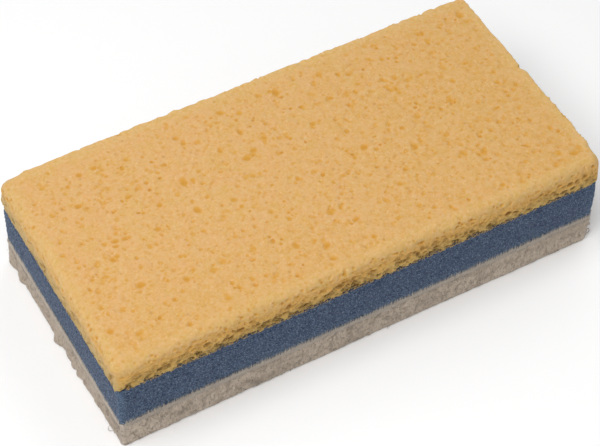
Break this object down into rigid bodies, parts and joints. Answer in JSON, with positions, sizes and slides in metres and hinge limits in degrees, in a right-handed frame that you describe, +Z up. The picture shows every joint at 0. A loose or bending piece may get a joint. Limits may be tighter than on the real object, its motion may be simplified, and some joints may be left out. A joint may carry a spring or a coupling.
{
  "type": "three-layer grout wash pad",
  "caption": "Rectangular hand pad for washing grout off floor tiles: open-pored wash sponge, soft foam core and fibre scrub layer, glued face to face.",
  "frame": {"origin": "middle of the scrub pad's flat underside, which the pad rests on", "axes": "+Z up through the layers, from the scrub pad to the wash sponge; X along the pad's length; Y across its width"},
  "size_m": [0.196, 0.0954, 0.0445],
  "materials": {
    "wash_foam": "matte open-pored sponge, yellow, with orange pores",
    "core_foam": "matte fine-celled foam, slate blue",
    "scrub_fibre": "matte bonded fibre, warm light grey",
    "glue": "dried adhesive, dull and slightly yellow"
  },
  "bodies": {
    "scrub_base": {"scrub_pad": "scrub_fibre", "lower_glue_film": "glue", "foam_core": "core_foam"},
    "wash_layer": {"upper_glue_film": "glue", "wash_sponge": "wash_foam"}
  },
  "joints": [
    {"name": "squeeze", "type": "slide", "parent": "scrub_base", "child": "wash_layer", "axis": [0, 0, -1], "range_m": [0, 0.0095], "stiffness_N_per_m": 2500, "deforming": ["foam_core"]}
  ]
}
